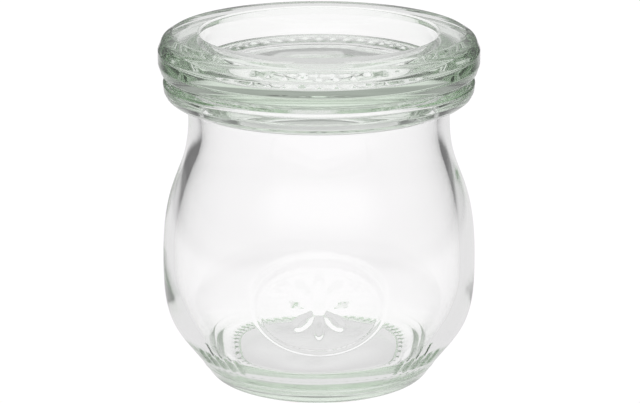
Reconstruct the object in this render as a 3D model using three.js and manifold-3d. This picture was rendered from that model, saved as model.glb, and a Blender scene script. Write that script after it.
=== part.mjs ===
// A small preserving jar of clear pressed glass, empty, with its glass lid resting on the rim.
// Millimetres, +Z up. The origin is the centre of the circle that the jar stands on, and the
// jar's front, with its raised medallion, faces -Y.

import * as THREE from "three";
import { mergeVertices } from "three/addons/utils/BufferGeometryUtils.js";
import Module from "manifold-3d";

const wasm = await Module();
wasm.setup();

// Driving dimensions of the jar
const HEIGHT = 60;
const BELLY_R = 26.8;
const BELLY_Z = 19.9;
const NECK_R = 22.15;
const NECK_Z = 45.7;
const MOUTH_R = 20;
const RIM_Z = 52.2;
const WALL = 2.2;
const FLOOR_Z = 4.4;

// The heel, where the body's taper meets the foot at the mould's parting line
const HEEL_R = 20.28;
const HEEL_Z = 2.84;
const TAPER = THREE.MathUtils.degToRad(53.5);

// The foot: a narrow flat ring round a shallow push-up, standing on short radial ribs
const FOOT_R = 15.9;
const FOOT_INNER_R = 15.1;
const FOOT_OUTER_R = 18.5;
const PUSH_UP = 0.6;
const RIBS = 56;
const RIB_HEIGHT = 0.3;
const RIB_WIDTH = 0.75;

// The flange that carries the lid
const FLANGE_R = 26.35;
const FLANGE_BOTTOM_Z = 48.7;
const FLANGE_EDGE_R = 25.9;
const FLANGE_EDGE_Z = 52.1;
const LAND_R = 24;

// The lid's outside: an undercut edge, an upright side, a bevelled shoulder and a flat-topped rim
const LID_R = 27.1;
const LID_EDGE_R = 26.6;
const LID_EDGE_Z = 53.4;
const LID_WIDEST_Z = 54.9;
const SIDE_TOP_Z = 57.2;
const SHOULDER_R = 26.33;
const SHOULDER_Z = 59.1;
const CREST_R = 24.8;

// The lid's recess: a steep wall round a flat panel
const RECESS_R = 20.1;
const PANEL_R = 19.4;
const PANEL_Z = 54.9;

// The ring under the lid that keeps it in the mouth, and the flat that lies on the brim
const CONTACT_R = 23.8;
const PLUG_R = 19.2;
const PLUG_INNER_R = 15.6;
const PLUG_Z = 48.6;
const UNDER_Z = 51.5;

// The medallion on the front: an oval bead round a flower, in low relief
const MEDALLION_Z = 20;
const MEDALLION_HALF_WIDTH = 11;
const MEDALLION_HALF_HEIGHT = 8;
const BEAD_WIDTH = 1;
const RELIEF = 0.28;
const PETALS = 8;
const PETAL_LENGTH = 3.8;
const PETAL_WIDTH = 1.7;
const FLOWER_EYE_R = 1;

const SEGMENTS = 56; // flats round each turned surface
const CURVE_STEPS = 7; // straight lengths that stand for a long curve of a profile
const CORNER_STEPS = 2; // straight lengths that soften a corner

const GLASS = { color: 0xe4ece4, roughness: 0.03, metalness: 0 };

// A closed mesh as a solid that can be joined.
function solid(geometry) {
  const bare = geometry.clone();
  bare.deleteAttribute("normal");
  bare.deleteAttribute("uv");
  const merged = mergeVertices(bare, 1e-4);
  return new wasm.Manifold(
    new wasm.Mesh({
      numProp: 3,
      vertProperties: new Float32Array(merged.attributes.position.array),
      triVerts: new Uint32Array(merged.index.array),
    }),
  );
}

function geometryOf(body) {
  const mesh = body.getMesh();
  const geometry = new THREE.BufferGeometry();
  geometry.setAttribute("position", new THREE.BufferAttribute(mesh.vertProperties, 3));
  geometry.setIndex(new THREE.BufferAttribute(mesh.triVerts, 1));
  geometry.computeVertexNormals();
  return geometry;
}

// A profile is a list of points of radius and height, turned about Z into a solid.
function turned(profile) {
  return new THREE.LatheGeometry(profile, SEGMENTS).rotateX(Math.PI / 2);
}

// Adds a curve to a profile, from the profile's end: one control point makes it quadratic, two
// make it cubic.
function curveTo(profile, steps, ...points) {
  const ends = [profile.at(-1), ...points.map(([r, z]) => new THREE.Vector2(r, z))];
  const Curve = points.length === 2 ? THREE.QuadraticBezierCurve : THREE.CubicBezierCurve;
  profile.push(...new Curve(...ends).getPoints(steps).slice(1));
}

// The point at a distance from one point along the direction of another.
function towards(from, to, distance) {
  return from.clone().addScaledVector(to.clone().sub(from).normalize(), distance);
}

// Continues a profile through its corners, each softened by a curve that starts and ends at a
// given distance from the corner; the last corner is the profile's next end.
function throughCorners(profile, corners) {
  corners.forEach(([r, z, soften = 0], i) => {
    const corner = new THREE.Vector2(r, z);
    if (i === corners.length - 1 || soften === 0) {
      profile.push(corner);
      return;
    }
    const out = towards(corner, new THREE.Vector2(corners[i + 1][0], corners[i + 1][1]), soften);
    profile.push(towards(corner, profile.at(-1), soften));
    curveTo(profile, CORNER_STEPS, [r, z], [out.x, out.y]);
  });
}

// The outside from heel to neck: it leaves the heel along the taper, is upright at the belly
// and upright again at the neck.
function bodyOutline(profile) {
  const low = 8;
  const below = 10.6;
  const above = 16.6;
  const underNeck = 11.1;
  const taper = new THREE.Vector2(Math.cos(TAPER), Math.sin(TAPER)).multiplyScalar(low);
  const leaving = [HEEL_R + taper.x, HEEL_Z + taper.y];
  const belly = [BELLY_R, BELLY_Z];
  curveTo(profile, CURVE_STEPS, leaving, [BELLY_R, BELLY_Z - below], belly);
  const neck = [NECK_R, NECK_Z];
  curveTo(profile, CURVE_STEPS, [BELLY_R, BELLY_Z + above], [NECK_R, NECK_Z - underNeck], neck);
}

// The inside from mouth to floor, which follows the outside a wall's thickness in and turns
// closely over the thick base.
function cavityOutline(profile) {
  const inner = BELLY_R - WALL;
  const belly = [inner, BELLY_Z + 0.5];
  const floor = [9.5, FLOOR_Z - 0.4];
  curveTo(profile, CURVE_STEPS, [MOUTH_R, NECK_Z - 10.5], [inner, BELLY_Z + 16], belly);
  curveTo(profile, CURVE_STEPS, [inner, BELLY_Z - 10.3], [20.6, FLOOR_Z - 0.7], floor);
  profile.push(new THREE.Vector2(0, FLOOR_Z));
}

function jarProfile() {
  const profile = [new THREE.Vector2(0, PUSH_UP)];
  throughCorners(profile, [
    [FOOT_INNER_R - 0.4, PUSH_UP - 0.1],
    [FOOT_INNER_R, RIB_HEIGHT],
    [FOOT_R, RIB_HEIGHT],
    [FOOT_OUTER_R, RIB_HEIGHT + 0.1, 1.1],
    [HEEL_R, HEEL_Z],
  ]);
  bodyOutline(profile);
  throughCorners(profile, [
    [NECK_R, FLANGE_BOTTOM_Z - 0.4, 0.9],
    [FLANGE_R - 1.45, FLANGE_BOTTOM_Z],
    [FLANGE_R - 0.55, FLANGE_BOTTOM_Z + 0.7],
    [FLANGE_R - 0.15, FLANGE_BOTTOM_Z + 1.5],
    [FLANGE_R, FLANGE_EDGE_Z - 0.5],
    [FLANGE_EDGE_R, FLANGE_EDGE_Z],
    [LAND_R, RIM_Z],
    [MOUTH_R, RIM_Z, 0.8],
    [MOUTH_R, NECK_Z],
  ]);
  cavityOutline(profile);
  return profile;
}

// The short bars under the foot ring that the jar stands on; each one reaches up into the ring.
function footRib(index) {
  const length = FOOT_R - FOOT_INNER_R;
  const bar = new THREE.BoxGeometry(length, RIB_WIDTH, 2 * RIB_HEIGHT);
  bar.translate((FOOT_R + FOOT_INNER_R) / 2, 0, RIB_HEIGHT);
  return bar.rotateZ((2 * Math.PI * index) / RIBS);
}

// The radius of the outside at a height, read along the profile between heel and neck.
function bodyRadius(z) {
  const points = [new THREE.Vector2(HEEL_R, HEEL_Z)];
  bodyOutline(points);
  const upper = points.findIndex((point) => point.y >= z);
  const a = points[upper - 1];
  const b = points[upper];
  return THREE.MathUtils.mapLinear(z, a.y, b.y, a.x, b.x);
}

// Lays a flat ornament on the jar's front: its x runs round the jar, its y up the jar, and its z
// out of the glass.
function wrapped(geometry) {
  const position = geometry.attributes.position;
  for (let i = 0; i < position.count; i += 1) {
    const z = MEDALLION_Z + position.getY(i);
    const surface = bodyRadius(z);
    const angle = position.getX(i) / surface;
    const radius = surface + position.getZ(i);
    position.setXYZ(i, radius * Math.sin(angle), -radius * Math.cos(angle), z);
  }
  return geometry;
}

function medallionBead() {
  const ring = new THREE.TorusGeometry(MEDALLION_HALF_HEIGHT, BEAD_WIDTH / 2, 6, 32);
  ring.scale(MEDALLION_HALF_WIDTH / MEDALLION_HALF_HEIGHT, 1, (2 * RELIEF) / BEAD_WIDTH);
  return wrapped(ring);
}

// The flower is as much wider than it is high as the bead round it.
function petal(index) {
  const drop = new THREE.SphereGeometry(1, 6, 4);
  drop.scale(PETAL_LENGTH / 2, PETAL_WIDTH / 2, RELIEF);
  drop.translate(FLOWER_EYE_R + 0.4 + PETAL_LENGTH / 2, 0, 0);
  drop.rotateZ((2 * Math.PI * (index + 0.5)) / PETALS);
  return wrapped(drop.scale(MEDALLION_HALF_WIDTH / MEDALLION_HALF_HEIGHT, 1, 1));
}

function flowerEye() {
  const eye = new THREE.SphereGeometry(1, 8, 4);
  const width = (FLOWER_EYE_R * MEDALLION_HALF_WIDTH) / MEDALLION_HALF_HEIGHT;
  return wrapped(eye.scale(width, FLOWER_EYE_R, RELIEF));
}

function makeJar() {
  const added = [medallionBead(), flowerEye()];
  for (let i = 0; i < PETALS; i += 1) added.push(petal(i));
  for (let i = 0; i < RIBS; i += 1) added.push(footRib(i));
  const body = added.reduce((sum, piece) => sum.add(solid(piece)), solid(turned(jarProfile())));
  return geometryOf(body);
}

function lidProfile() {
  const profile = [new THREE.Vector2(0, UNDER_Z)];
  throughCorners(profile, [
    [PLUG_INNER_R - 0.8, UNDER_Z],
    [PLUG_INNER_R, PLUG_Z, 0.6],
    [PLUG_R - 0.4, PLUG_Z, 0.6],
    [PLUG_R, RIM_Z],
    [CONTACT_R, RIM_Z],
    [LID_EDGE_R - 0.6, RIM_Z + 0.5],
    [LID_EDGE_R, LID_EDGE_Z],
    [LID_R, LID_WIDEST_Z],
    [LID_R, SIDE_TOP_Z, 0.3],
    [SHOULDER_R, SHOULDER_Z, 0.75],
    [CREST_R, HEIGHT, 0.35],
    [RECESS_R, HEIGHT, 0.4],
    [PANEL_R, PANEL_Z, 0.7],
    [0, PANEL_Z],
  ]);
  return profile;
}

function makeLid() {
  return turned(lidProfile());
}

function sub(name, geometry) {
  const mesh = new THREE.Mesh(geometry, new THREE.MeshStandardMaterial(GLASS));
  mesh.name = name;
  return mesh;
}

const canningJar = new THREE.Group();
canningJar.add(sub("jar", makeJar()));
canningJar.add(sub("lid", makeLid()));

export default canningJar;
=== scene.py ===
# %% [markdown]
# # A canning jar of clear glass with its lid
# The object is a small tulip-shaped jar of pressed and blown glass, empty, with a thick glass lid
# lying on its brim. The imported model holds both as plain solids. Here each solid gets a piece of its
# own that stands in the same place and carries the fine shape: the ribs under the foot, the raised
# ornament, the marks on the lid and the slight waves of hand-warm glass.
# The model is loaded first, because everything below is measured against it.

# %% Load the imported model
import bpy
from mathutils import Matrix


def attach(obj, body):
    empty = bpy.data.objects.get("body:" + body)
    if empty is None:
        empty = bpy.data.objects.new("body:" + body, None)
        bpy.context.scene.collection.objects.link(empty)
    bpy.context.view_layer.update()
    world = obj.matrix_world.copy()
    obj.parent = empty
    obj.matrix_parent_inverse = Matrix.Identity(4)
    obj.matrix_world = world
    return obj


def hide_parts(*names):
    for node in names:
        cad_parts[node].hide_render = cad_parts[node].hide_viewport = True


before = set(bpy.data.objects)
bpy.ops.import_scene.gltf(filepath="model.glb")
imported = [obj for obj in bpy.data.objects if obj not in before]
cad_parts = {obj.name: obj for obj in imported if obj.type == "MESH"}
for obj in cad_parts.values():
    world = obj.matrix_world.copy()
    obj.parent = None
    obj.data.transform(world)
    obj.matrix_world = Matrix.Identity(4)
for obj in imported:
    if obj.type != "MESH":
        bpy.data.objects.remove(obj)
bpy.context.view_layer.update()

# %% [markdown]
# ## Camera
# The photograph looks slightly down on the jar from a fair distance, so its upright sides hardly
# converge. A long lens does that: 146 mm on a 36 mm sensor, 445 mm from the jar's middle.
# The camera comes first, since every later look at the scene goes through it.

# %% Camera at the photograph's angle
import math

import bpy
import numpy as np

MM = 0.001
LOOK_DOWN = math.radians(16.1)
CAMERA_DISTANCE = 444.6 * MM
LOOK_AT_Z = 30.2 * MM
LOOK_AT_X = 0.17 * MM
SENSOR_WIDTH, LENS_LENGTH = 36, 146.25
NEAREST = 10 * MM

scene = bpy.context.scene
camera = bpy.data.objects.new("camera", bpy.data.cameras.new("camera"))
scene.collection.objects.link(camera)
scene.camera = camera
camera.location = (
    LOOK_AT_X,
    -CAMERA_DISTANCE * math.cos(LOOK_DOWN),
    LOOK_AT_Z + CAMERA_DISTANCE * math.sin(LOOK_DOWN),
)
camera.rotation_euler = (math.pi / 2 - LOOK_DOWN, 0, 0)
camera.data.sensor_width = SENSOR_WIDTH
camera.data.lens = LENS_LENGTH
camera.data.clip_start = NEAREST
print("camera stands at", tuple(round(v, 4) for v in camera.location))

# %% [markdown]
# ## Curves for the cross-sections
# A jar and its lid are turned shapes: one cross-section, swept once round the upright axis.
# A cross-section is made of long smooth curves, for the walls, and straight runs with rounded
# corners, for the foot, the brim and the lid. Two helpers give both. All are in millimetres, as
# pairs of radius and height.

# %% Smooth curves and rounded corners
def smooth_curve(start, leave, arrive, end, count):
    """A cubic curve: each point is the mix of four points whose weights are the terms of
    (1 - t) + t to the third power, for t from 0 to 1."""
    t = np.linspace(0, 1, count + 1)[:, None]
    a, b, c, d = (np.array(p, float) for p in (start, leave, arrive, end))
    return (1 - t) ** 3 * a + 3 * (1 - t) ** 2 * t * b + 3 * (1 - t) * t**2 * c + t**3 * d


ARC_STEP = math.radians(11)
GUARD = 0.12
NEARLY_HALF = 0.499


def corner_arc(before, corner, after, radius):
    """The arc that rounds one corner: its centre lies on the corner's bisector, at radius / sin(half
    the corner's angle), and its points turn from one straight run to the other at even angles. It
    uses up less than half of either run, so two neighbours never meet. A guard point on each run,
    just off the arc, keeps the run flat to the eye right up to the arc."""
    back, ahead = before - corner, after - corner
    back_length, ahead_length = np.linalg.norm(back), np.linalg.norm(ahead)
    back, ahead = back / back_length, ahead / ahead_length
    half = math.acos(float(np.clip(back @ ahead, -1, 1))) / 2
    reach = min(radius / math.tan(half), NEARLY_HALF * back_length, NEARLY_HALF * ahead_length)
    radius = reach * math.tan(half)
    bisector = (back + ahead) / np.linalg.norm(back + ahead)
    centre = corner + bisector * radius / math.sin(half)
    first, last = (corner + side * reach - centre for side in (back, ahead))
    begin = math.atan2(first[1], first[0])
    turn = (math.atan2(last[1], last[0]) - begin + math.pi) % math.tau - math.pi
    angles = begin + turn * np.linspace(0, 1, int(abs(turn) / ARC_STEP) + 3)
    arc = centre + radius * np.stack([np.cos(angles), np.sin(angles)], 1)
    guards = [
        corner + side * (reach + min(GUARD, 0.25 * (length / 2 - reach)))
        for side, length in ((back, back_length), (ahead, ahead_length))
    ]
    return np.vstack([guards[0], arc, guards[1]])


def through_corners(*corners):
    """Straight runs through (radius, height, rounding) corners, each rounded by an arc of its own
    rounding; a rounding of 0 leaves the point as it is."""
    points = np.array([c[:2] for c in corners], float)
    run = [points[:1]]
    for k in range(1, len(corners) - 1):
        rounding = corners[k][2]
        run.append(corner_arc(*points[k - 1 : k + 2], rounding) if rounding else points[k : k + 1])
    return np.vstack(run + [points[-1:]])


def joined(*runs):
    """Runs put end to end, with each shared end point kept once and points nearer than a hundredth
    of a millimetre to the one before dropped."""
    line = np.vstack(runs)
    gap = np.linalg.norm(np.diff(line, axis=0), axis=1)
    return line[np.concatenate([[True], gap > 0.01])]


# %% [markdown]
# ## The jar's cross-section
# A real jar of this kind is pressed and then blown in a closed mould. The mould gives the outside:
# a foot that stands on a narrow ring, a heel with a fine parting line, a round belly, a neck, and a
# thick brim that the lid lies on. The air gives the inside, which only follows loosely, so the wall
# is thick at the bottom and thin at the belly. The line runs from under the foot, up the outside,
# over the brim and down the inside to the middle of the floor. A curve's last number is how many
# steps it is drawn in.

# %% Jar outline
BELLY_R, BELLY_Z = 26.8, 19.9
NECK_R, NECK_Z = 22.15, 45.7
MOUTH_R, RIM_Z = 20.0, 52.2
HEEL_R, HEEL_Z = 20.28, 2.84
TAPER = math.radians(53.5)
FOOT_R, FOOT_INNER_R, FOOT_OUTER_R, PUSH_UP = 15.9, 15.1, 18.5, 0.6
FLANGE_R, FLANGE_BOTTOM_Z = 26.35, 48.68
FLANGE_EDGE_R, FLANGE_EDGE_Z = 25.9, 52.1
LAND_R = 24.0
LOW_PULL, BELOW_PULL, ABOVE_PULL, NECK_PULL = 8.0, 10.6, 16.6, 11.1

foot = through_corners(
    (0, PUSH_UP, 0),  # the middle of the push-up
    (FOOT_INNER_R - 0.45, PUSH_UP - 0.1, 0.3),  # its edge, just inside the ring
    (FOOT_INNER_R, 0, 0.2),
    (FOOT_R, 0, 0.6),
    (FOOT_OUTER_R, 0.25, 2.2),  # the round of the heel
    (HEEL_R - 0.08, HEEL_Z - 0.12, 0),
    (HEEL_R, HEEL_Z, 0),  # the parting line
)
belly_low = smooth_curve(
    (HEEL_R, HEEL_Z),
    (HEEL_R + LOW_PULL * math.cos(TAPER), HEEL_Z + LOW_PULL * math.sin(TAPER)),
    (BELLY_R, BELLY_Z - BELOW_PULL),
    (BELLY_R, BELLY_Z),
    72,
)
belly_high = smooth_curve(
    (BELLY_R, BELLY_Z),
    (BELLY_R, BELLY_Z + ABOVE_PULL),
    (NECK_R, NECK_Z - NECK_PULL),
    (NECK_R, NECK_Z),
    52,
)
brim = through_corners(
    (NECK_R, NECK_Z, 0),
    (NECK_R, 48.3, 1.2),  # where the neck turns out under the brim
    (24.9, FLANGE_BOTTOM_Z, 0.5),
    (25.75, 49.35, 0.8),
    (FLANGE_R - 0.15, 50.25, 0.8),
    (FLANGE_R, 51.7, 0.5),  # the widest line of the brim
    (FLANGE_EDGE_R, FLANGE_EDGE_Z, 0.3),
    (LAND_R, RIM_Z, 0),  # the flat that the lid lies on
    (MOUTH_R, RIM_Z, 0.8),
    (MOUTH_R, NECK_Z, 0),
)
print("foot has", len(foot), "points and the brim", len(brim))

# %% [markdown]
# The inside is one flowing line in three curves: out from the mouth to the belly, down and in to
# the edge of the thick base, and nearly level over the base, which is a little higher in the middle.

# %% Jar cavity
WALL, FLOOR_Z = 2.2, 4.4
CAVITY_R, CAVITY_Z = BELLY_R - WALL, 20.4
BASE_R, BASE_Z = 9.5, 4.0
CORNER_R, CORNER_Z = 20.6, 3.7
MOUTH_PULL, SHOULDER_PULL, WALL_PULL = 10.5, 15.5, 10.8

cavity_high = smooth_curve(
    (MOUTH_R, NECK_Z),
    (MOUTH_R, NECK_Z - MOUTH_PULL),
    (CAVITY_R, CAVITY_Z + SHOULDER_PULL),
    (CAVITY_R, CAVITY_Z),
    36,
)
cavity_low = smooth_curve(
    (CAVITY_R, CAVITY_Z), (CAVITY_R, CAVITY_Z - WALL_PULL), (CORNER_R, CORNER_Z), (BASE_R, BASE_Z), 26
)
cavity_floor = smooth_curve((BASE_R, BASE_Z), (6.0, 4.08), (3.0, FLOOR_Z), (0, FLOOR_Z), 6)
jar_outline = joined(foot, belly_low, belly_high, brim, cavity_high, cavity_low, cavity_floor)
print("jar outline has", len(jar_outline), "points")

# %% [markdown]
# ## The lid's cross-section
# The lid is pressed in one piece. Its thick rim stands up round a flat recess, so a second jar can
# stand in it, and outside the brim its underside slopes up, so that a rubber ring fits there. A
# ring below the plate keeps it from sliding off. The line runs from the middle of the underside
# outwards, round the rim and back to the middle of the top.

# %% Lid outline
LID_R, LID_TOP_Z, LID_WIDEST_Z = 27.1, 60.0, 54.9
LID_EDGE_R, LID_EDGE_Z = 26.6, 53.4
CONTACT_R, AIR_GAP = 23.8, 0.05
PLUG_R, PLUG_Z, PLUG_INNER_R, UNDER_Z = 19.2, 48.6, 15.6, 51.5
RECESS_R, PANEL_R, PANEL_Z = 20.1, 19.4, 54.9
MARK_OUTER_R, MARK_INNER_R = 18.6, 16.2
SIDE_TOP_Z, SHOULDER_R, SHOULDER_Z, CREST_R = 57.2, 26.33, 59.1, 24.8

lid_outline = joined(
    through_corners(
        (0, UNDER_Z, 0),
        (PLUG_INNER_R - 0.8, UNDER_Z, 1.0),
        (PLUG_INNER_R, PLUG_Z, 0.8),  # the ring below the plate
        (PLUG_R - 0.4, PLUG_Z, 0.8),
        (PLUG_R, RIM_Z + AIR_GAP, 0.4),
        (CONTACT_R, RIM_Z + AIR_GAP, 1.0),  # the end of the flat that rests on the brim
        (26.0, 52.75, 0.4),
        (LID_EDGE_R, LID_EDGE_Z, 0.8),
        (LID_R, LID_WIDEST_Z, 1.2),
        (LID_R, SIDE_TOP_Z, 0.6),  # the end of the upright side
        (SHOULDER_R, SHOULDER_Z, 1.4),
        (CREST_R, LID_TOP_Z, 0.7),
        (RECESS_R, LID_TOP_Z, 0.4),  # the top of the recess wall
        (PANEL_R, PANEL_Z, 1.0),
        (MARK_OUTER_R, PANEL_Z, 0),
        (MARK_INNER_R, PANEL_Z, 0),
        (0, PANEL_Z, 0),
    )
)
print("lid outline has", len(lid_outline), "points")


# %% [markdown]
# ## Enough points where the detail is
# Straight runs need more points than their two ends, or the raised marks on them have nothing to
# rise from. So the outline is walked again in steps no longer than a given length.

# %% Fill the long steps
def filled(outline, longest):
    """The same line with every step longer than `longest` cut into equal parts: the place of each
    point along the line is its step number plus the share of the step that it has gone."""
    gap = np.linalg.norm(np.diff(outline, axis=0), axis=1)
    parts = np.maximum(1, np.ceil(gap / longest(outline[:-1], outline[1:]))).astype(int)
    step = np.repeat(np.arange(len(gap)), parts)
    share = (np.arange(len(step)) - np.repeat(np.cumsum(parts) - parts, parts)) / parts[step]
    inside = outline[step] + (outline[step + 1] - outline[step]) * share[:, None]
    return np.vstack([inside, outline[-1:]])


MARK_R = (MARK_OUTER_R + MARK_INNER_R) / 2
MARK_REACH = 1.3
JAR_STEP, LID_STEP, MARK_STEP = 2.5, 1.0, 0.2


def jar_step(start, end):
    """The same longest step all over the jar, whose curves are fine enough as they are."""
    return np.full(len(start), JAR_STEP)


def lid_step(start, end):
    """A fifth of a millimetre where the recess carries the marks, one elsewhere."""
    middle = (start + end) / 2
    has_marks = (middle[:, 1] > PANEL_Z - 0.5) & (abs(middle[:, 0] - MARK_R) < MARK_REACH)
    return np.where(has_marks, MARK_STEP, LID_STEP)


jar_outline = filled(jar_outline, jar_step)
lid_outline = filled(lid_outline, lid_step)
print("jar rows", len(jar_outline), "lid rows", len(lid_outline))

# %% [markdown]
# ## Columns round the axis
# The rows of the grid are the outline's points, and its columns are angles round the axis, with 0 at
# the front. Six columns to each foot rib give 336. Most of the ornament sits on the front of the
# belly, so there the columns crowd together: each is moved towards the front by a share of the sine
# of its own angle. The share fades to nothing at the foot and at the neck, where they are even again.

# %% Angles for every row and column
RIBS = 56
COLUMNS = 6 * RIBS
CROWDING = 0.55
CROWDED_FROM_Z, CROWDED_TO_Z = 12, 28

even = np.arange(COLUMNS) * math.tau / COLUMNS


def eased(value, start, end):
    """0 below start, 1 above end, and 3 t squared less 2 t cubed between them."""
    t = np.clip((value - start) / (end - start), 0, 1)
    return t * t * (3 - 2 * t)


jar_row = np.arange(len(jar_outline))
brim_row = int(np.argmax(jar_outline[:, 1]))
jar_r, jar_z = jar_outline[:, :1], jar_outline[:, 1:]
is_outside = (jar_row < brim_row)[:, None]
fade = eased(jar_z, HEEL_Z, CROWDED_FROM_Z) * (1 - eased(jar_z, CROWDED_TO_Z, NECK_Z))
crowd = np.where(is_outside, CROWDING * fade, 0)
jar_angle = even - crowd * np.sin(even)
lid_angle = np.tile(even, (len(lid_outline), 1))
lid_r, lid_z = lid_outline[:, :1], lid_outline[:, 1:]
print("finest column", round(float(np.diff(jar_angle, axis=1).min() * BELLY_R), 3), "mm")

# %% [markdown]
# ## Raised marks
# Everything raised on the glass is drawn the same way: a height over the plain surface that is full
# inside a shape and slopes to nothing at its edge, as the mould's engraving does. The shape is given
# by a distance that is negative inside. The first is the ornament on the front: an oval bead round
# a flower with eight like petals.

# %% Flower in an oval bead on the belly
RELIEF = 0.26
EDGE = 0.22


def raised(distance, height):
    """Height where the distance to the shape's edge is well inside, easing to 0 across the edge."""
    return height * (1 - eased(distance, -EDGE, EDGE))


def front_angle(angle):
    """Angles measured from the front, from minus to plus half a turn."""
    return (angle + math.pi) % math.tau - math.pi


MEDALLION_Z, HALF_WIDTH, HALF_HEIGHT, BEAD_WIDTH = 20.0, 11.0, 8.0, 0.9
PETALS, PETAL_MIDDLE, PETAL_LENGTH, PETAL_WIDTH, EYE_R = 8, 3.5, 1.9, 0.85, 1.0

across = front_angle(jar_angle) * jar_r
up = jar_z - MEDALLION_Z
from_middle = np.hypot(across, up)
oval = np.hypot(across / HALF_WIDTH, up / HALF_HEIGHT)
to_bead = np.abs(from_middle * (1 - 1 / np.maximum(oval, 0.05))) - BEAD_WIDTH / 2
petal_turn = math.tau / PETALS
turn_from_petal = (np.arctan2(up, across) + petal_turn / 2) % petal_turn - petal_turn / 2
along_petal = from_middle * np.cos(turn_from_petal) - PETAL_MIDDLE
aside_petal = from_middle * np.sin(turn_from_petal)
to_petal = (np.hypot(along_petal / PETAL_LENGTH, aside_petal / PETAL_WIDTH) - 1) * PETAL_WIDTH
to_eye = from_middle - EYE_R
to_ornament = np.minimum(np.minimum(to_bead, to_petal), to_eye)
medallion = np.where(is_outside, raised(to_ornament, RELIEF), 0)
print("ornament covers", int((medallion > 0.1).sum()), "grid points")

# %% [markdown]
# The heel carries small mould marks on both sides. They are slim upright bars with round ends, in
# two groups, each group leaning with the slope of the glass. A bar with round ends is the set of
# points within half its width of a short line.

# %% Bars on the heel
BAR_GROUP_MIDDLE = math.radians(45)
BAR_PITCH = math.radians(5.2)
BARS_IN_GROUP = 5
HEEL_BAR_Z, HEEL_BAR_HALF, HEEL_BAR_WIDTH, HEEL_BAR_HEIGHT = 6.9, 1.1, 0.62, 0.24

from_group = np.abs(front_angle(jar_angle)) - BAR_GROUP_MIDDLE
nearest_bar = np.clip(np.round(from_group / BAR_PITCH), -(BARS_IN_GROUP // 2), BARS_IN_GROUP // 2)
beside_bar = (from_group - nearest_bar * BAR_PITCH) * jar_r
past_bar = np.maximum(np.abs(jar_z - HEEL_BAR_Z) - HEEL_BAR_HALF, 0)
to_heel_bar = np.hypot(beside_bar, past_bar) - HEEL_BAR_WIDTH / 2
heel_bars = np.where(is_outside, raised(to_heel_bar, HEEL_BAR_HEIGHT), 0)
print("heel bars cover", int((heel_bars > 0.1).sum()), "grid points")

# %% [markdown]
# The jar stands on a ring of short radial ribs, which keeps hot glass from touching the table all
# over. Between two ribs the ring is a little higher. The rib's form round the axis is a raised
# cosine, and it fades out where the ring ends on both sides.

# %% Ribs under the foot
RIB_HEIGHT = 0.32

between_ribs = 0.5 - 0.5 * np.cos(even * RIBS)
past_inner_edge = eased(jar_r, FOOT_INNER_R - 0.1, FOOT_INNER_R + 0.2)
past_outer_edge = eased(jar_r, FOOT_R - 0.3, FOOT_R + 0.25)
on_ring = past_inner_edge * (1 - past_outer_edge)
ring_rows = is_outside & (jar_z < HEEL_Z / 2)
rib_gap = np.where(ring_rows, -RIB_HEIGHT * on_ring * between_ribs, 0)
print("ribs sink", round(float(-rib_gap.min()), 2), "mm between them")

# %% [markdown]
# ## Waves in the glass
# Blown glass is never even. The inside wall wanders by a tenth of a millimetre or so in long slow
# waves, and that is what bends the edges seen through it. A few cosines round the axis, each with
# its own phase and its own slow change with height, give the same without any chance. The outside
# waves far less, and it is set back by the waves' own height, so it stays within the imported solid.
# All waves die away at the mouth, where the lid has to fit, and at the middle of the floor.

# %% Slow waves of the blown inside
def slow_waves(angle, height, terms):
    """The sum of cosines: (waves round, waves per height, phase, size) for each term."""
    return sum(
        size * np.cos(round_count * angle + phase) * np.cos(height / pitch + phase * 1.7)
        for round_count, pitch, phase, size in terms
    )


INSIDE_WAVES = [(2, 14, 0.4, 0.10), (3, 9, 2.1, 0.07), (5, 6, 4.0, 0.05), (8, 5, 1.2, 0.025)]
OUTSIDE_WAVES = [(2, 20, 1.9, 0.02), (4, 8, 0.3, 0.012), (7, 5, 3.3, 0.008)]

WAVE_SETBACK = 0.04
CALM_MIDDLE_R = 8

below_mouth = 1 - eased(jar_z, NECK_Z - 3, NECK_Z + 2)
above_heel = eased(jar_z, HEEL_Z, 8)
off_axis = eased(jar_r, 0, CALM_MIDDLE_R)
inside_wave = np.where(is_outside, 0, slow_waves(jar_angle, jar_z, INSIDE_WAVES)) * below_mouth * off_axis
body_rows = is_outside & (jar_z > HEEL_Z)
outside_wave = (slow_waves(jar_angle, jar_z, OUTSIDE_WAVES) - WAVE_SETBACK) * above_heel * below_mouth
outside_wave = np.where(body_rows, outside_wave, 0)
print("inside wanders by", round(float(np.ptp(inside_wave)), 2), "mm")

# %% [markdown]
# ## From grid to mesh
# Each row's points step along the outline's own normal by the height of what is raised there, then
# turn round the axis. The first and last rows lie on the axis, so each is one point with a fan of
# triangles, and the last column joins the first: the skin closes on itself, as glass must, or light
# would not know where it enters and leaves.

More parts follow.
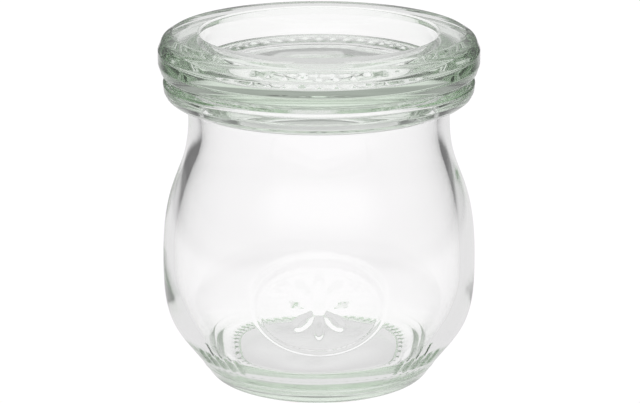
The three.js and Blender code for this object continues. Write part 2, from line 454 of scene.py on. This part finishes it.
# %% Turned surfaces and the jar
def turned_piece(name, outline, angle, lift):
    """Point(row, column) = outline point plus lift times the outline's outward normal, turned by the
    angle: x = r sin(angle), y = -r cos(angle), z = height. The normal is the outline's own direction
    turned a quarter to the right."""
    ahead = np.gradient(outline, axis=0)
    normal = np.stack([ahead[:, 1], -ahead[:, 0]], 1) / np.linalg.norm(ahead, axis=1)[:, None]
    r = outline[:, :1] + lift * normal[:, :1]
    z = outline[:, 1:] + lift * normal[:, 1:]
    grid = np.stack([r * np.sin(angle), -r * np.cos(angle), z], 2)[1:-1]
    poles = np.array([[0, 0, outline[0, 1]], [0, 0, outline[-1, 1]]])
    points = np.vstack([grid.reshape(-1, 3), poles]) * MM
    rows, columns = grid.shape[:2]
    index = np.arange(rows * columns).reshape(rows, columns)
    beside = np.roll(index, -1, axis=1)
    quads = np.stack([index[:-1], beside[:-1], beside[1:], index[1:]], 2).reshape(-1, 4)
    first, last = rows * columns, rows * columns + 1
    first_fan = np.stack([np.full(columns, first), beside[0], index[0]], 1)
    last_fan = np.stack([np.full(columns, last), index[-1], beside[-1]], 1)
    mesh = bpy.data.meshes.new(name)
    mesh.from_pydata(points.tolist(), [], quads.tolist() + first_fan.tolist() + last_fan.tolist())
    mesh.polygons.foreach_set("use_smooth", np.ones(len(mesh.polygons), bool))
    mesh.update()
    piece = bpy.data.objects.new(name, mesh)
    scene.collection.objects.link(piece)
    mesh.calc_loop_triangles()
    print(name, len(mesh.loop_triangles), "triangles")
    return piece


PARTING_HEIGHT = 0.07

parting_line = np.where(is_outside & (np.abs(jar_z - HEEL_Z) < 0.01), PARTING_HEIGHT, 0)
jar_lift = medallion + heel_bars + rib_gap + inside_wave + outside_wave + parting_line
jar = turned_piece("jar_body", jar_outline, jar_angle, jar_lift)

# %% [markdown]
# ## Marks on the lid
# The floor of the recess carries a ring of pressed marks beside its wall. They are plain bars that
# point to the middle, with a round dot after every third bar, so that the ring catches the light in
# an uneven rhythm.

# %% Ring of bars and dots in the lid's recess
LID_MARKS = 44
MARK_HALF_LENGTH, MARK_WIDTH, DOT_R, MARK_RELIEF = 0.7, 0.7, 0.5, 0.3

mark_turn = math.tau / LID_MARKS
mark_number = np.round(lid_angle / mark_turn).astype(int) % LID_MARKS
beside_mark = (lid_angle - np.round(lid_angle / mark_turn) * mark_turn) * MARK_R
from_ring = lid_r - MARK_R
to_bar = np.hypot(beside_mark, np.maximum(np.abs(from_ring) - MARK_HALF_LENGTH, 0)) - MARK_WIDTH / 2
to_dot = np.hypot(beside_mark, from_ring) - DOT_R
to_mark = np.where(mark_number % 4 == 3, to_dot, to_bar)
on_panel = (np.abs(lid_z - PANEL_Z) < 0.01) & (np.abs(from_ring) < MARK_REACH)
lid_marks = np.where(on_panel, raised(to_mark, MARK_RELIEF), 0)
print("lid marks cover", int((lid_marks > 0.1).sum()), "grid points")

# %% [markdown]
# A pressed lid is more even than a blown wall, so its waves are a fiftieth of a millimetre. They are
# half as high below, and fade out wherever the lid has to keep its measure: where it meets the
# brim, at its widest, along the top of its rim and at its middle.

# %% Waves in the lid
LID_WAVES = [(3, 4, 0.7, 0.02), (5, 3, 2.6, 0.012), (9, 2, 5.0, 0.006)]
WAVE_SHARE_BELOW = 0.5

under_lid = np.arange(len(lid_outline))[:, None] < np.argmax(lid_outline[:, 0])
off_brim = eased(np.abs(lid_r - CONTACT_R), 3.0, 4.0) * (1 - eased(lid_r, 24, 26))
may_wave = off_brim * eased(lid_r, 0, CALM_MIDDLE_R) * (1 - eased(lid_z, 58, 59.5))
lid_wave = np.where(under_lid, WAVE_SHARE_BELOW, 1.0) * slow_waves(lid_angle, lid_z, LID_WAVES) * may_wave
lid = turned_piece("lid_glass_disc", lid_outline, lid_angle, lid_marks + lid_wave)

# %% [markdown]
# ## Finishes
# Colours are given as sRGB hex values, as a colour picker shows them, and one function turns them
# to the linear values that the shader works in. One more adds a node, sets it and joins it.

# %% Colour and node helpers
def linear(hex_colour):
    """Each channel c from 0 to 1: c / 12.92 when it is 0.04045 or less, else ((c + 0.055) / 1.055)
    to the power 2.4. A fourth value, 1, is for opacity."""
    c = np.array([int(hex_colour[k : k + 2], 16) for k in (0, 2, 4)]) / 255
    return (*np.where(c <= 0.04045, c / 12.92, ((c + 0.055) / 1.055) ** 2.4).tolist(), 1.0)


def add_node(tree, kind, values=None, links=None, **settings):
    """Adds one node, with attributes from settings, socket values and links from other sockets."""
    node = tree.nodes.new(kind)
    for key, value in settings.items():
        setattr(node, key, value)
    for key, value in (values or {}).items():
        node.inputs[key].default_value = value
    for key, source in (links or {}).items():
        tree.links.new(source, node.inputs[key])
    return node


print("mid grey is", [round(v, 3) for v in linear("808080")])

# %% [markdown]
# ## Soda-lime glass
# Jars are made of soda-lime glass, clear with a faint green from traces of iron. The green is not on
# the surface: it builds up along the path of the light, so thin walls look white and thick edges
# green. That is a clear shader with the glass's refractive index, 1.52, and a volume that absorbs a
# little more red and blue than green. The surface is bright from the fire, but it keeps faint waves
# from the mould, several millimetres across, and a very slight haze where the mould touched it.

# %% Blown jar glass and pressed lid glass
GLASS_IOR = 1.52
IRON_TINT = "bbdab6"
IRON_DENSITY = 10.0
HAZE_MM = 9


def soda_lime_glass(name, wave_mm, wave_depth_mm, haze):
    """Clear glass with a bump of soft noise, `wave_mm` across and `wave_depth_mm` deep, in Object
    coordinates, and a roughness that drifts from 0 to `haze` in patches of `HAZE_MM`."""
    material = bpy.data.materials.new(name)
    material.use_nodes = True
    tree = material.node_tree
    tree.nodes.clear()
    place = add_node(tree, "ShaderNodeTexCoord").outputs["Object"]
    waves = add_node(
        tree,
        "ShaderNodeTexNoise",
        {"Scale": 1 / (wave_mm * MM), "Detail": 2.0, "Roughness": 0.45},
        {"Vector": place},
    )
    bump = add_node(
        tree,
        "ShaderNodeBump",
        {"Strength": 1.0, "Distance": wave_depth_mm * MM},
        {"Height": waves.outputs["Fac"]},
    )
    drift = add_node(
        tree, "ShaderNodeTexNoise", {"Scale": 1 / (HAZE_MM * MM), "Detail": 3.0}, {"Vector": place}
    )
    roughness = add_node(
        tree,
        "ShaderNodeMapRange",
        {"From Min": 0.45, "From Max": 0.75, "To Min": 0.0, "To Max": haze},
        {"Value": drift.outputs["Fac"]},
    )
    surface = add_node(
        tree,
        "ShaderNodeBsdfPrincipled",
        {"Base Color": linear("ffffff"), "IOR": GLASS_IOR, "Transmission Weight": 1.0},
        {"Normal": bump.outputs["Normal"], "Roughness": roughness.outputs["Result"]},
    )
    inside = add_node(
        tree, "ShaderNodeVolumeAbsorption", {"Color": linear(IRON_TINT), "Density": IRON_DENSITY}
    )
    add_node(
        tree,
        "ShaderNodeOutputMaterial",
        links={"Surface": surface.outputs["BSDF"], "Volume": inside.outputs["Volume"]},
    )
    return material


jar.data.materials.append(soda_lime_glass("blown_soda_lime_glass", 7.0, 0.012, 0.02))
lid.data.materials.append(soda_lime_glass("pressed_soda_lime_glass", 5.0, 0.002, 0.01))
print("jar and lid have", jar.data.materials[0].name, "and", lid.data.materials[0].name)

# %% [markdown]
# ## What each piece stands for
# Both pieces belong to the one body of the model and take the place of its two solids.

# %% Tie the pieces to the model
for piece, node_name, slot_name in ((jar, "jar", "jar_glass"), (lid, "lid", "lid_glass")):
    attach(piece, "root")
    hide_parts(node_name)
    print(piece.name, "stands for", node_name)

# %% [markdown]
# ## Light
# Clear glass shows little of itself: it shows its surroundings, bent. The photograph was taken on a
# lit white table, so the floor here glows, like a light table, and no shadow falls round the jar.
# Just under the foot the glow is painted a little dimmer: a painted shadow for the room's light that
# the jar keeps off. What the glass mirrors, rather than lets through, is the dimmer room, and that is
# painted into the floor's glow as well. The glow is a little darker for a ray that has been mirrored,
# and a little more so towards the front. For such a ray the painted glow also ends to the left and
# right, outside the picture: the neck, the brim and the lid's edge mirror the sides, and it is this
# painted shade that makes them grey while the belly stays bright.

# %% Lit table
# The table's glow, and the dimmer glow under the foot that is a painted shadow.
TABLE_LIGHT, UNDER_FOOT_PAINTED_SHADOW = 1.04, 0.8
# Painted shade: the dimmer glow that mirrored rays meet, darker in front and at the sides.
MIRRORED, MIRRORED_IN_FRONT = 0.8, 0.74
DARK_FROM_Y, DARK_TO_Y = -0.03, -0.12
SIDE_FROM_X, SIDE_TO_X, SIDE_SHARE = 0.105, 0.19, 0.24
TABLE_HALF, TABLE_GAP = 3.0, 0.05 * MM
TABLE_WHITE = "fffdff"

table_mesh = bpy.data.meshes.new("table")
table_mesh.from_pydata(
    [(x * TABLE_HALF, y * TABLE_HALF, -TABLE_GAP) for x, y in ((-1, -1), (1, -1), (1, 1), (-1, 1))],
    [],
    [(0, 1, 2, 3)],
)
table = bpy.data.objects.new("table", table_mesh)
scene.collection.objects.link(table)

# One emission shader: the table's glow, with its painted shadow under the foot and painted shade for
# mirrored rays.
table_glow_and_painted_shade = bpy.data.materials.new("backlit_table_painted_shade")
table_glow_and_painted_shade.use_nodes = True
tree = table_glow_and_painted_shade.node_tree
tree.nodes.clear()
place = add_node(tree, "ShaderNodeTexCoord").outputs["Object"]
reach = add_node(tree, "ShaderNodeVectorMath", links={0: place}, operation="LENGTH").outputs["Value"]
axes = add_node(tree, "ShaderNodeSeparateXYZ", links={0: place})
aside = add_node(tree, "ShaderNodeMath", links={0: axes.outputs["X"]}, operation="ABSOLUTE").outputs[0]
# Painted shade: rays mirrored by the glass meet a dimmer glow, darker towards the front.
mirrored = add_node(
    tree,
    "ShaderNodeMapRange",
    {"From Min": DARK_FROM_Y, "From Max": DARK_TO_Y, "To Min": MIRRORED, "To Max": MIRRORED_IN_FRONT},
    {"Value": axes.outputs["Y"]},
    interpolation_type="SMOOTHSTEP",
)
# Painted shade: for mirrored rays the glow also falls off to the left and right.
side_painted_shade = add_node(
    tree,
    "ShaderNodeMapRange",
    {"From Min": SIDE_FROM_X, "From Max": SIDE_TO_X, "To Min": 1.0, "To Max": SIDE_SHARE},
    {"Value": aside},
    interpolation_type="SMOOTHSTEP",
)
# Painted shadow: the glow dims under the foot, from the ring's inner edge to just past the foot.
glow_with_painted_shadow = add_node(
    tree,
    "ShaderNodeMapRange",
    {
        "From Min": FOOT_INNER_R * MM,
        "From Max": (FOOT_R + 1.5) * MM,
        "To Min": UNDER_FOOT_PAINTED_SHADOW,
        "To Max": TABLE_LIGHT,
    },
    {"Value": reach},
)
mirrored_painted_shade = add_node(
    tree,
    "ShaderNodeMath",
    links={0: mirrored.outputs["Result"], 1: side_painted_shade.outputs["Result"]},
    operation="MULTIPLY",
)
# Rays that the glass has mirrored meet the painted shade, all others the glow with its painted shadow.
glow = add_node(
    tree,
    "ShaderNodeMapRange",
    {"From Min": 0.0, "From Max": 1.0},
    {
        "Value": add_node(tree, "ShaderNodeLightPath").outputs["Glossy Depth"],
        "To Min": glow_with_painted_shadow.outputs["Result"],
        "To Max": mirrored_painted_shade.outputs[0],
    },
)
light = add_node(
    tree, "ShaderNodeEmission", {"Color": linear(TABLE_WHITE)}, {"Strength": glow.outputs["Result"]}
)
add_node(tree, "ShaderNodeOutputMaterial", links={"Surface": light.outputs["Emission"]})
table_mesh.materials.append(table_glow_and_painted_shade)
print("table is", 2 * TABLE_HALF, "m across")

# %% [markdown]
# The room is a tall white tent: brightest overhead, with a dimmer band at the height of the table's
# edge. That band is what draws the thin grey lines along the sides of the glass, because there the
# surface turns away and shows what is level with it. To the left and right the tent is in shade,
# like the table there, and in front it is a touch dimmer. Seen straight, without glass between, the
# tent is one even pale backdrop.

# %% Room brightness by elevation
ROOM = [(-90, 0.85), (-8, 0.8), (-3, 0.25), (10, 0.3), (22, 0.9), (40, 0.95), (90, 0.95)]
FRONT_SHARE, FRONT_FROM_Y, FRONT_TO_Y = 0.95, -0.35, -0.8
SHADE_FROM_X, SHADE_TO_X = 0.5, 0.85
PLAIN_BACKDROP = 0.95

world = bpy.data.worlds.new("studio_tent")
scene.world = world
world.use_nodes = True
tree = world.node_tree
tree.nodes.clear()
direction = add_node(tree, "ShaderNodeTexCoord").outputs["Generated"]
axes = add_node(tree, "ShaderNodeSeparateXYZ", links={0: direction})
elevation = add_node(tree, "ShaderNodeMath", links={0: axes.outputs["Z"]}, operation="ARCSINE").outputs[0]
share = add_node(
    tree,
    "ShaderNodeMapRange",
    {"From Min": -math.pi / 2, "From Max": math.pi / 2},
    {"Value": elevation},
)
ramp = add_node(tree, "ShaderNodeValToRGB", links={"Fac": share.outputs["Result"]})
stops = ramp.color_ramp.elements
while len(stops) < len(ROOM):
    stops.new(0.5)
for stop, (degrees, brightness) in zip(stops, ROOM):
    stop.position = (degrees + 90) / 180
    stop.color = (brightness, brightness, brightness, 1)
front = add_node(
    tree,
    "ShaderNodeMapRange",
    {"From Min": FRONT_TO_Y, "From Max": FRONT_FROM_Y, "To Min": FRONT_SHARE, "To Max": 1.0},
    {"Value": axes.outputs["Y"]},
    interpolation_type="SMOOTHSTEP",
)
aside = add_node(tree, "ShaderNodeMath", links={0: axes.outputs["X"]}, operation="ABSOLUTE").outputs[0]
sides = add_node(
    tree,
    "ShaderNodeMapRange",
    {"From Min": SHADE_FROM_X, "From Max": SHADE_TO_X, "To Min": 1.0, "To Max": SIDE_SHARE},
    {"Value": aside},
    interpolation_type="SMOOTHSTEP",
)
shade = add_node(
    tree,
    "ShaderNodeMath",
    links={0: front.outputs["Result"], 1: sides.outputs["Result"]},
    operation="MULTIPLY",
)
in_glass = add_node(
    tree, "ShaderNodeMath", links={0: ramp.outputs["Color"], 1: shade.outputs[0]}, operation="MULTIPLY"
)
seen_straight = add_node(tree, "ShaderNodeLightPath").outputs["Is Camera Ray"]
seen = add_node(
    tree,
    "ShaderNodeMapRange",
    {"To Max": PLAIN_BACKDROP},
    {"Value": seen_straight, "To Min": in_glass.outputs[0]},
)
back = add_node(
    tree, "ShaderNodeBackground", {"Color": linear("ffffff")}, {"Strength": seen.outputs["Result"]}
)
add_node(tree, "ShaderNodeOutputWorld", links={"Surface": back.outputs["Background"]})
print("room has", len(ROOM), "levels")

# %% [markdown]
# ## How the light is followed
# Light crosses many glass walls before it leaves the jar, and inside a thick rim it is mirrored
# again and again, so each ray may bend and bounce often. The plain Standard view keeps the white
# table white.

# %% Ray depth and view
BOUNCES = 96

scene.cycles.max_bounces = BOUNCES
scene.cycles.transmission_bounces = BOUNCES
scene.cycles.glossy_bounces = BOUNCES
scene.cycles.caustics_reflective = True
scene.cycles.caustics_refractive = True
scene.view_settings.view_transform = "Standard"
